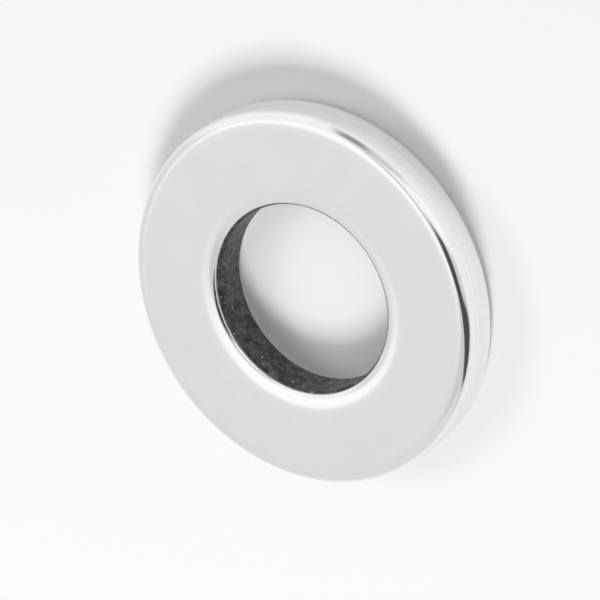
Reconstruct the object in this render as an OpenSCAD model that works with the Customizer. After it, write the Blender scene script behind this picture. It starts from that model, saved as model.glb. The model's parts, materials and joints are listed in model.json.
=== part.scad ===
// A ring magnet: one flat, round ring with a plain hole through its middle and all four
// edges rounded. It lies on one of its two flat faces, which are its poles. The origin is
// the middle of the hole in the face that it lies on, and +Z runs along the hole. The
// sizes are in millimetres, and they are the finished ones, over the plating.

/* [Ring] */
// Diameter of the ring
outer_d = 12; // [10:0.5:30]
// Diameter of the hole
hole_d = 6; // [2:0.5:8]
// Thickness between the two flat faces
thickness = 1.5; // [0.8:0.1:10]

/* [Edges] */
// Radius of the two edges round the outside
outer_edge_r = 0.25; // [0.05:0.01:0.35]
// Radius of the two edges round the hole
hole_edge_r = 0.25; // [0.05:0.01:0.35]

/* [Hidden] */
// Names of the separate pieces
// The piece to draw, or "all"
// Distance from the axis to the outside
outer_r = outer_d / 2;
// Distance from the axis to the wall of the hole
hole_r = hole_d / 2;
// How far a cut runs past the surfaces that it cuts
overcut = 0.1;
// Flats in the outline of a drawn circle
$fn = 128;

// What rounding takes off a square corner that is at [0, 0], with its solid above and to
// the right of it: a small square, less the circle that the new edge follows.
module corner_waste(edge_r) {
    difference() {
        translate([-overcut, -overcut]) square(edge_r + overcut);
        translate([edge_r, edge_r]) circle(edge_r);
    }
}

// What rounding takes off the lower face: the corner at the hole, and the one outside.
module lower_waste() {
    translate([hole_r, 0]) corner_waste(hole_edge_r);
    translate([outer_r, 0]) mirror([1, 0]) corner_waste(outer_edge_r);
}

// Half of the ring cut through its axis: X is the distance from the axis, Y the height.
module section() {
    difference() {
        translate([hole_r, 0]) square([outer_r - hole_r, thickness]);
        lower_waste();
        translate([0, thickness]) mirror([0, 1]) lower_waste();
    }
}

module ring_magnet() {
    color("gainsboro") rotate_extrude() section();
}

ring_magnet();
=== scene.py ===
import json
import math

import bpy
from mathutils import Matrix, Vector

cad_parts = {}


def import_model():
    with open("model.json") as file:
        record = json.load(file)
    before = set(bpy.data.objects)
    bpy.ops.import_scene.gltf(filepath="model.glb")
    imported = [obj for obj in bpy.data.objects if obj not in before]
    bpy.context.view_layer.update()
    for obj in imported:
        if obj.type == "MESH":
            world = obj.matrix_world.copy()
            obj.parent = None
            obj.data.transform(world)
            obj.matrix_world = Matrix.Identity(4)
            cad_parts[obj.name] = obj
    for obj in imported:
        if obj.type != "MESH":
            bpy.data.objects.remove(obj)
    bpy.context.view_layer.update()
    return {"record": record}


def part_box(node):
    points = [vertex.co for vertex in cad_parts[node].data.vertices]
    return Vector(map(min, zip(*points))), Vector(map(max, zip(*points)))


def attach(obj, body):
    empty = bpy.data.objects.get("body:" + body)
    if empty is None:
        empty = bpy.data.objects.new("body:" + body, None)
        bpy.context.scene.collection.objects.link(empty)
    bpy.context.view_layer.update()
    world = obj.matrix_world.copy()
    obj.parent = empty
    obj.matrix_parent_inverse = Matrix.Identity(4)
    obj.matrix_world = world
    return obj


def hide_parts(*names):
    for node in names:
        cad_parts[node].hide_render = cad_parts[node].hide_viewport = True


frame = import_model()

MM = 0.001

# The ring's own sizes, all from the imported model
NODE = "ring_magnet"
LOW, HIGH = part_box(NODE)
MOUNTS = {mount["name"]: mount["dims"] for mount in frame["record"]["mounts"]}
OUTER_R = MOUNTS["rim"]["r_mm"] * MM
HOLE_R = MOUNTS["bore"]["r_mm"] * MM
THICKNESS = HIGH.z - LOW.z
OUTER_EDGE_R = (THICKNESS - MOUNTS["rim"]["length_mm"] * MM) / 2
HOLE_EDGE_R = (THICKNESS - MOUNTS["bore"]["length_mm"] * MM) / 2

# What grinding and tumbling did to the form: the rim's crown, and how wide and how deep each
# face falls away beside the outer edge and beside the hole
RIM_CROWN = 0.03 * MM
OUTER_FALL = 0.28 * MM
OUTER_DROP = 0.010 * MM
HOLE_FALL = 0.5 * MM
HOLE_DROP = 0.022 * MM

# How finely the ring is meshed
TURN_STEPS = 288
SECTION_STEP = 0.06 * MM
EDGE_STEPS = 12

# Where one finish gives way to the next: how far under a face's plane, in from the rim's widest part
# and off the hole's wall the finish of that place is still whole, and how far it reaches
FACE_ZONE = (0.0005 * MM, 0.010 * MM)
RIM_ZONE = (RIM_CROWN, RIM_CROWN + 0.06 * MM)
HOLE_ZONE = (0.06 * MM, 0.12 * MM)

# How large the lumps of each grain in the finish are
SATIN_GRAIN = 0.05 * MM
CLOUD_GRAIN = 1.6 * MM
HATCH_GRAIN = 0.09 * MM
HATCH_STRETCH = (60, 60, 1)  # the rim's grinding lines are long the way round it
PIT_GRAIN = 0.3 * MM
FLECK_GRAIN = 0.11 * MM

# The part of a grain's range, from 0 to 1, that each mark is drawn from
WHOLE = (0.0, 1.0)
MOST = (0.3, 0.7)
MIDDLE = (0.35, 0.65)
FLECK_TOPS = (0.66, 0.76)

# Roughness and tone of each place, from the lowest of the grain to the highest
FACE_ROUGH = (0.30, 0.35)
FACE_ROUGH_DRIFT = (-0.02, 0.02)
RIM_ROUGH = (0.12, 0.24)
HOLE_ROUGH = (0.35, 0.55)
EDGE_ROUGH = 0.10
FACE_TONE = (0.735, 0.765)
RIM_TONE = (0.84, 0.95)
# The hole's dark tone is partly its duller plating and partly painted shade, as deep inside a long hole
HOLE_TONE_AND_SHADE = (0.05, 0.17)
FLECK_LIFT = (0.0, 0.35)  # what a fleck adds to the hole's tone
EDGE_TONE = 0.82

# How deep the marks are
FACE_RELIEF = (0.0, 0.0002 * MM)
RIM_RELIEF = (0.0, 0.012 * MM)
HOLE_RELIEF = (0.0, 0.10 * MM)

# The camera, as the photograph's: where it is, from the middle of the upper face, and which way is up
VIEW_FROM = Vector((30.67, 29.07, 51.57)) * OUTER_R
VIEW_UP = Vector((-0.2703, 0.9065, -0.3244))
SENSOR = 36.0
RING_SHARE = 0.66  # of the picture's width, taken by the ring's long axis
CLIP_RANGE = 10  # the camera sees from a tenth of its distance to ten times it

# The plain light from all round, and the brightness of the tent that the plating mirrors instead
PLAIN = 0.5
TENT = 0.72

# The cards in the tent: the azimuth and elevation of each one's middle, its roll, its half width and
# half height, and how soft its edges are, all in degrees, and then its brightness
CARDS = (
    (236, 24, -8, 66, 31, 5, 0.85),
    (186, 64, 12, 22, 18, 5, 1.2),
    (141, 26, 5, 34, 32, 5, 1.08),
    (44, 28, -20, 16, 46, 5, 1.1),
    (99, 22, -8, 8, 24, 4, 0.35),
    (-20, 45, 77, 37, 16, 3, 0.08),
    (14, 52, 0, 11, 9, 3, 0.08),
)

# The two lamps are square panels: each one's name, azimuth and elevation, and how bright its front is
LAMPS = (
    ("key_box", 290, 45, 16.0),
    ("fill_box", 184, 45, 3.6),
)
LAMP_SIDE = 140 * MM
LAMP_DISTANCE = 400 * MM

# The table: half its side, and how far under the ring its top is
TABLE_HALF = 600 * MM
TABLE_DROP = 0.004 * MM
TABLE_COLOUR = (0.92, 0.92, 0.92, 1)
TABLE_WHITE = 0.3  # how far the plating mirrors the table as plain white
WHITE = (1, 1, 1, 1)


def node_of(tree, kind, links=None, **settings):
    """Adds a node, sets its own settings, and feeds its sockets by name or by number."""
    node = tree.nodes.new(kind)
    for name, value in settings.items():
        setattr(node, name, value)
    for socket, value in (links or {}).items():
        if isinstance(value, bpy.types.NodeSocket):
            tree.links.new(value, node.inputs[socket])
        else:
            node.inputs[socket].default_value = value
    return node


def maths(tree, operation, *values, clamp=False):
    """One Math node's result."""
    node = node_of(tree, "ShaderNodeMath", dict(enumerate(values)), operation=operation, use_clamp=clamp)
    return node.outputs[0]


def product(tree, first, *others):
    """All the values multiplied."""
    total = first
    for value in others:
        total = maths(tree, "MULTIPLY", total, value)
    return total


def off_axis(tree, place):
    """A place's X, Y and Z, the place without its Z, and its distance from the ring's axis."""
    parts = node_of(tree, "ShaderNodeSeparateXYZ", {0: place}).outputs
    flat = node_of(tree, "ShaderNodeCombineXYZ", {"X": parts["X"], "Y": parts["Y"]}).outputs[0]
    distance = node_of(tree, "ShaderNodeVectorMath", {0: flat}, operation="LENGTH").outputs["Value"]
    return parts, flat, distance


def fall(tree, past, width, drop):
    """How far a face has sunk at a distance past its flat part: drop at width, and ever more beyond."""
    share = maths(tree, "MAXIMUM", maths(tree, "DIVIDE", past, width), 0.0)
    return product(tree, share, share, drop)


def ring_tree():
    """Geometry Nodes that sweep the ring's rounded section round its axis."""
    tree = bpy.data.node_groups.new("rounded_ring", "GeometryNodeTree")
    sizes = {
        "Outer Radius": OUTER_R,
        "Hole Radius": HOLE_R,
        "Thickness": THICKNESS,
        "Outer Edge Radius": OUTER_EDGE_R,
        "Hole Edge Radius": HOLE_EDGE_R,
        "Rim Crown": RIM_CROWN,
        "Outer Fall": OUTER_FALL,
        "Outer Drop": OUTER_DROP,
        "Hole Fall": HOLE_FALL,
        "Hole Drop": HOLE_DROP,
        "Section Step": SECTION_STEP,
    }
    for name in sizes:
        socket = tree.interface.new_socket(name=name, in_out="INPUT", socket_type="NodeSocketFloat")
        socket.subtype = "DISTANCE"
    for name in ("Turn Steps", "Edge Steps"):
        tree.interface.new_socket(name=name, in_out="INPUT", socket_type="NodeSocketInt")
    tree.interface.new_socket(name="Finish", in_out="INPUT", socket_type="NodeSocketMaterial")
    tree.interface.new_socket(name="Geometry", in_out="OUTPUT", socket_type="NodeSocketGeometry")
    given = tree.nodes.new("NodeGroupInput").outputs

    # The section is a rectangle whose corners are rounded by the side that they are on
    width = maths(tree, "SUBTRACT", given["Outer Radius"], given["Hole Radius"])
    middle = maths(tree, "MULTIPLY", maths(tree, "ADD", given["Outer Radius"], given["Hole Radius"]), 0.5)
    box = node_of(
        tree, "GeometryNodeCurvePrimitiveQuadrilateral", {"Width": width, "Height": given["Thickness"]}
    )
    place = tree.nodes.new("GeometryNodeInputPosition").outputs[0]
    apart = node_of(tree, "ShaderNodeSeparateXYZ", {0: place}).outputs
    outside = maths(tree, "GREATER_THAN", apart["X"], 0.0)
    edge_r = node_of(
        tree,
        "GeometryNodeSwitch",
        {"Switch": outside, "False": given["Hole Edge Radius"], "True": given["Outer Edge Radius"]},
        input_type="FLOAT",
    ).outputs[0]
    rounded = node_of(
        tree,
        "GeometryNodeFilletCurve",
        {"Curve": box.outputs[0], "Count": given["Edge Steps"], "Radius": edge_r},
        mode="POLY",
    )
    section = node_of(
        tree,
        "GeometryNodeResampleCurve",
        {"Curve": rounded.outputs[0], "Length": given["Section Step"]},
        mode="LENGTH",
    )

    # The section is swept round a circle that runs through its middle
    path = node_of(
        tree, "GeometryNodeCurvePrimitiveCircle", {"Resolution": given["Turn Steps"], "Radius": middle}
    )
    swept = node_of(
        tree, "GeometryNodeCurveToMesh", {"Curve": path.outputs[0], "Profile Curve": section.outputs[0]}
    ).outputs[0]

    # The rim is crowned: it draws in towards the axis away from its middle
    around = tree.nodes.new("GeometryNodeInputPosition").outputs[0]
    parts, flat, from_axis = off_axis(tree, around)
    outwards = node_of(tree, "ShaderNodeVectorMath", {0: flat}, operation="NORMALIZE").outputs[0]
    half_width = maths(tree, "MULTIPLY", width, 0.5)
    share_out = maths(tree, "DIVIDE", maths(tree, "SUBTRACT", from_axis, middle), half_width, clamp=True)
    half_thickness = maths(tree, "MULTIPLY", given["Thickness"], 0.5)
    off_middle = maths(tree, "DIVIDE", parts["Z"], half_thickness)
    bow = product(tree, off_middle, off_middle, share_out, given["Rim Crown"], -1.0)
    shift = node_of(tree, "ShaderNodeVectorMath", {0: outwards, "Scale": bow}, operation="SCALE").outputs[0]
    crowned = node_of(tree, "GeometryNodeSetPosition", {"Geometry": swept, "Offset": shift}).outputs[0]

    # Both faces fall away a little beside the outer edge and beside the hole
    outer_rounding = maths(tree, "SUBTRACT", given["Outer Radius"], given["Outer Edge Radius"])
    outer_start = maths(tree, "SUBTRACT", outer_rounding, given["Outer Fall"])
    past_outer = maths(tree, "SUBTRACT", from_axis, outer_start)
    outer_sink = fall(tree, past_outer, given["Outer Fall"], given["Outer Drop"])
    hole_rounding = maths(tree, "ADD", given["Hole Radius"], given["Hole Edge Radius"])
    hole_start = maths(tree, "ADD", hole_rounding, given["Hole Fall"])
    past_hole = maths(tree, "SUBTRACT", hole_start, from_axis)
    hole_sink = fall(tree, past_hole, given["Hole Fall"], given["Hole Drop"])
    sink = product(tree, maths(tree, "ADD", outer_sink, hole_sink), off_middle, -1.0)
    down = node_of(tree, "ShaderNodeCombineXYZ", {"Z": sink}).outputs[0]
    eased = node_of(tree, "GeometryNodeSetPosition", {"Geometry": crowned, "Offset": down}).outputs[0]

    # It is lifted to stand on its lower face
    lift = node_of(tree, "ShaderNodeCombineXYZ", {"Z": half_thickness}).outputs[0]
    lifted = node_of(tree, "GeometryNodeTransform", {"Geometry": eased, "Translation": lift}).outputs[0]
    smooth = node_of(tree, "GeometryNodeSetShadeSmooth", {"Geometry": lifted}).outputs[0]
    real = node_of(tree, "GeometryNodeRealizeInstances", {"Geometry": smooth}).outputs[0]
    finished = node_of(
        tree, "GeometryNodeSetMaterial", {"Geometry": real, "Material": given["Finish"]}
    ).outputs[0]
    out = tree.nodes.new("NodeGroupOutput")
    tree.links.new(finished, out.inputs[0])
    return tree, sizes


def ring_piece(finish):
    """The ring as a plain mesh, from its Geometry Nodes tree."""
    tree, sizes = ring_tree()
    seed = bpy.data.objects.new("ring_form", bpy.data.meshes.new("ring_form"))
    bpy.context.scene.collection.objects.link(seed)
    modifier = seed.modifiers.new("rounded_ring", "NODES")
    modifier.node_group = tree
    values = {**sizes, "Turn Steps": TURN_STEPS, "Edge Steps": EDGE_STEPS, "Finish": finish}
    for socket in tree.interface.items_tree:
        if socket.item_type == "SOCKET" and socket.in_out == "INPUT":
            modifier[socket.identifier] = values[socket.name]
    shape = seed.evaluated_get(bpy.context.evaluated_depsgraph_get())
    mesh = bpy.data.meshes.new_from_object(shape)
    seed.modifiers.remove(modifier)
    bpy.data.objects.remove(seed)
    mesh.name = "ring"
    ring = bpy.data.objects.new("ring", mesh)
    bpy.context.scene.collection.objects.link(ring)
    return ring


def between(tree, value, low, high, start=0.0, end=1.0):
    """Goes smoothly from start to end as value goes from low to high."""
    node = node_of(
        tree,
        "ShaderNodeMapRange",
        {"Value": value, "From Min": low, "From Max": high, "To Min": start, "To Max": end},
        interpolation_type="SMOOTHSTEP",
    )
    return node.outputs[0]


def grain(tree, place, size, stretch=(1, 1, 1), detail=2.0, roughness=0.5):
    """Noise from 0 to 1 whose lumps are about size across, longer where stretch is more."""
    scale = tuple(1 / (size * s) for s in stretch)
    spread = node_of(tree, "ShaderNodeVectorMath", {0: place, 1: scale}, operation="MULTIPLY").outputs[0]
    noise = node_of(
        tree,
        "ShaderNodeTexNoise",
        {"Vector": spread, "Scale": 1.0, "Detail": detail, "Roughness": roughness},
        noise_dimensions="3D",
    )
    return noise.outputs[0]


def zones(tree, place):
    """How much each point is on a flat face, on the rim or in the hole: three numbers from 0 to 1."""
    parts, _, from_axis = off_axis(tree, place)
    off_middle = maths(tree, "ABSOLUTE", maths(tree, "SUBTRACT", parts["Z"], THICKNESS / 2))
    under_face = maths(tree, "SUBTRACT", THICKNESS / 2, off_middle)
    under_rim = maths(tree, "SUBTRACT", OUTER_R, from_axis)
    off_wall = maths(tree, "SUBTRACT", from_axis, HOLE_R)
    face = between(tree, under_face, *FACE_ZONE, 1.0, 0.0)
    rim = between(tree, under_rim, *RIM_ZONE, 1.0, 0.0)
    hole = between(tree, off_wall, *HOLE_ZONE, 1.0, 0.0)
    return face, rim, hole


def blend(tree, *pairs, rest):
    """The values weighted by their shares, with rest where the shares leave room."""
    total = rest
    for share, value in pairs:
        mix = node_of(tree, "ShaderNodeMix", {0: share, 2: total, 3: value}, data_type="FLOAT")
        total = mix.outputs[0]
    return total


def plating():
    """Bright nickel over the ground ring: satin faces, glossy edges, a hatched rim and a rough hole, whose
    dark colour is partly painted shade.
    """
    material = bpy.data.materials.new("nickel_plating")
    material.use_nodes = True
    tree = material.node_tree
    tree.nodes.clear()
    place = tree.nodes.new("ShaderNodeTexCoord").outputs["Object"]
    face, rim, hole = zones(tree, place)

    satin = grain(tree, place, SATIN_GRAIN, detail=3.0)
    cloud = grain(tree, place, CLOUD_GRAIN)
    hatch = grain(tree, place, HATCH_GRAIN, stretch=HATCH_STRETCH, detail=4.0, roughness=0.7)
    pits = grain(tree, place, PIT_GRAIN, detail=5.0, roughness=0.7)
    flecks = grain(tree, place, FLECK_GRAIN, detail=1.0)

    face_satin = between(tree, satin, *MOST, *FACE_ROUGH)
    face_rough = maths(tree, "ADD", face_satin, between(tree, cloud, *MOST, *FACE_ROUGH_DRIFT))
    rim_rough = between(tree, hatch, *MOST, *RIM_ROUGH)
    hole_rough = between(tree, pits, *MOST, *HOLE_ROUGH)
    rough = blend(tree, (face, face_rough), (rim, rim_rough), (hole, hole_rough), rest=EDGE_ROUGH)

    face_tone = between(tree, cloud, *MOST, *FACE_TONE)
    rim_tone = between(tree, hatch, *MOST, *RIM_TONE)
    # The hole's colour is darkened with painted shade, over and above its duller plating
    dull_and_shaded_hole = between(tree, pits, *MIDDLE, *HOLE_TONE_AND_SHADE)
    hole_tone = maths(tree, "ADD", dull_and_shaded_hole, between(tree, flecks, *FLECK_TOPS, *FLECK_LIFT))
    tone = blend(tree, (face, face_tone), (rim, rim_tone), (hole, hole_tone), rest=EDGE_TONE)
    colour = node_of(tree, "ShaderNodeCombineColor", {0: tone, 1: tone, 2: tone}).outputs[0]

    relief = blend(
        tree,
        (face, between(tree, satin, *WHOLE, *FACE_RELIEF)),
        (rim, between(tree, hatch, *WHOLE, *RIM_RELIEF)),
        (hole, between(tree, pits, *WHOLE, *HOLE_RELIEF)),
        rest=0.0,
    )
    bump = node_of(tree, "ShaderNodeBump", {"Height": relief, "Distance": 1.0, "Strength": 1.0})
    shader = node_of(
        tree,
        "ShaderNodeBsdfPrincipled",
        {"Base Color": colour, "Metallic": 1.0, "Roughness": rough, "Normal": bump.outputs[0]},
    )
    node_of(tree, "ShaderNodeOutputMaterial", {"Surface": shader.outputs[0]})
    return material


def table():
    """The plain pale table that the ring lies on."""
    mesh = bpy.data.meshes.new("table")
    ways = ((-1, -1), (1, -1), (1, 1), (-1, 1))
    corners = [(x * TABLE_HALF, y * TABLE_HALF, -TABLE_DROP) for x, y in ways]
    mesh.from_pydata(corners, [], [(0, 1, 2, 3)])
    material = bpy.data.materials.new("table")
    material.use_nodes = True
    tree = material.node_tree
    tree.nodes.clear()
    matt = node_of(tree, "ShaderNodeBsdfDiffuse", {"Color": TABLE_COLOUR})
    white = node_of(tree, "ShaderNodeEmission", {"Color": WHITE, "Strength": 1.0})
    mirrored = node_of(tree, "ShaderNodeLightPath").outputs["Is Glossy Ray"]
    share = maths(tree, "MULTIPLY", mirrored, TABLE_WHITE)
    both = node_of(tree, "ShaderNodeMixShader", {0: share, 1: matt.outputs[0], 2: white.outputs[0]})
    node_of(tree, "ShaderNodeOutputMaterial", {"Surface": both.outputs[0]})
    mesh.materials.append(material)
    piece = bpy.data.objects.new("table", mesh)
    bpy.context.scene.collection.objects.link(piece)


def heading(azimuth, elevation=0.0):
    """The unit vector that way from the ring, with both angles in degrees."""
    a, e = math.radians(azimuth), math.radians(elevation)
    return Vector((math.cos(a) * math.cos(e), math.sin(a) * math.cos(e), math.sin(e)))


def card(tree, way, azimuth, elevation, roll, half_wide, half_high, soft):
    """How much the direction is on a card that faces the ring. All its angles are in degrees."""
    middle = heading(azimuth, elevation)
    level = heading(azimuth + 90)
    turn = Matrix.Rotation(math.radians(roll), 3, middle)
    side = turn @ level
    top = turn @ middle.cross(level)
    ahead, beside, above = (
        node_of(tree, "ShaderNodeVectorMath", {0: way, 1: axis}, operation="DOT_PRODUCT").outputs["Value"]
        for axis in (middle, side, top)
    )
    across = maths(tree, "ABSOLUTE", maths(tree, "ARCTAN2", beside, ahead))
    upwards = maths(tree, "ABSOLUTE", maths(tree, "ARCSINE", above))
    wide, high, blur = math.radians(half_wide), math.radians(half_high), math.radians(soft)
    within_sides = between(tree, across, wide - blur, wide + blur, 1.0, 0.0)
    within_ends = between(tree, upwards, high - blur, high + blur, 1.0, 0.0)
    return maths(tree, "MULTIPLY", within_sides, within_ends)


def world():
    """A pale tent with white, grey and black cards in it, which the bright plating mirrors."""
    studio = bpy.data.worlds.new("studio")
    studio.use_nodes = True
    tree = studio.node_tree
    tree.nodes.clear()
    way = tree.nodes.new("ShaderNodeTexCoord").outputs["Generated"]
    level = TENT
    for *place, shade in CARDS:
        level = blend(tree, (card(tree, way, *place), shade), rest=level)
    ray = node_of(tree, "ShaderNodeLightPath").outputs
    strength = blend(tree, (ray["Is Glossy Ray"], level), (ray["Is Camera Ray"], 1.0), rest=PLAIN)
    light = node_of(tree, "ShaderNodeBackground", {"Color": WHITE, "Strength": strength})
    node_of(tree, "ShaderNodeOutputWorld", {"Surface": light.outputs[0]})
    bpy.context.scene.world = studio


def softbox(name, azimuth, elevation, glow):
    """A white panel lamp that faces the ring. glow is how bright its front is, where 1 is white."""
    data = bpy.data.lights.new(name, "AREA")
    data.shape = "RECTANGLE"
    data.size = data.size_y = LAMP_SIDE
    data.energy = glow * math.pi * LAMP_SIDE**2
    lamp = bpy.data.objects.new(name, data)
    bpy.context.scene.collection.objects.link(lamp)
    back = heading(azimuth, elevation)
    lamp.rotation_mode = "QUATERNION"
    lamp.rotation_quaternion = back.to_track_quat("Z", "Y")
    lamp.location = back * LAMP_DISTANCE
    lamp.visible_glossy = False  # the plating mirrors the tent and its cards instead


def camera():
    """The photograph's view of the ring's upper face, closer in."""
    data = bpy.data.cameras.new("camera")
    eye = bpy.data.objects.new("camera", data)
    bpy.context.scene.collection.objects.link(eye)
    target = Vector((0, 0, THICKNESS))
    back = VIEW_FROM.normalized()
    up = (VIEW_UP - back * VIEW_UP.dot(back)).normalized()
    across = up.cross(back)
    turn = Matrix((across, up, back)).transposed().to_4x4()
    eye.matrix_world = Matrix.Translation(target + VIEW_FROM) @ turn
    data.sensor_width = SENSOR
    data.lens = SENSOR * RING_SHARE * VIEW_FROM.length / (2 * OUTER_R)
    data.clip_start = VIEW_FROM.length / CLIP_RANGE
    data.clip_end = VIEW_FROM.length * CLIP_RANGE
    bpy.context.scene.camera = eye


bpy.context.scene.view_settings.view_transform = "Standard"
world()
for lamp in LAMPS:
    softbox(*lamp)
camera()
table()
ring = ring_piece(plating())
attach(ring, "root")
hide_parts(NODE)
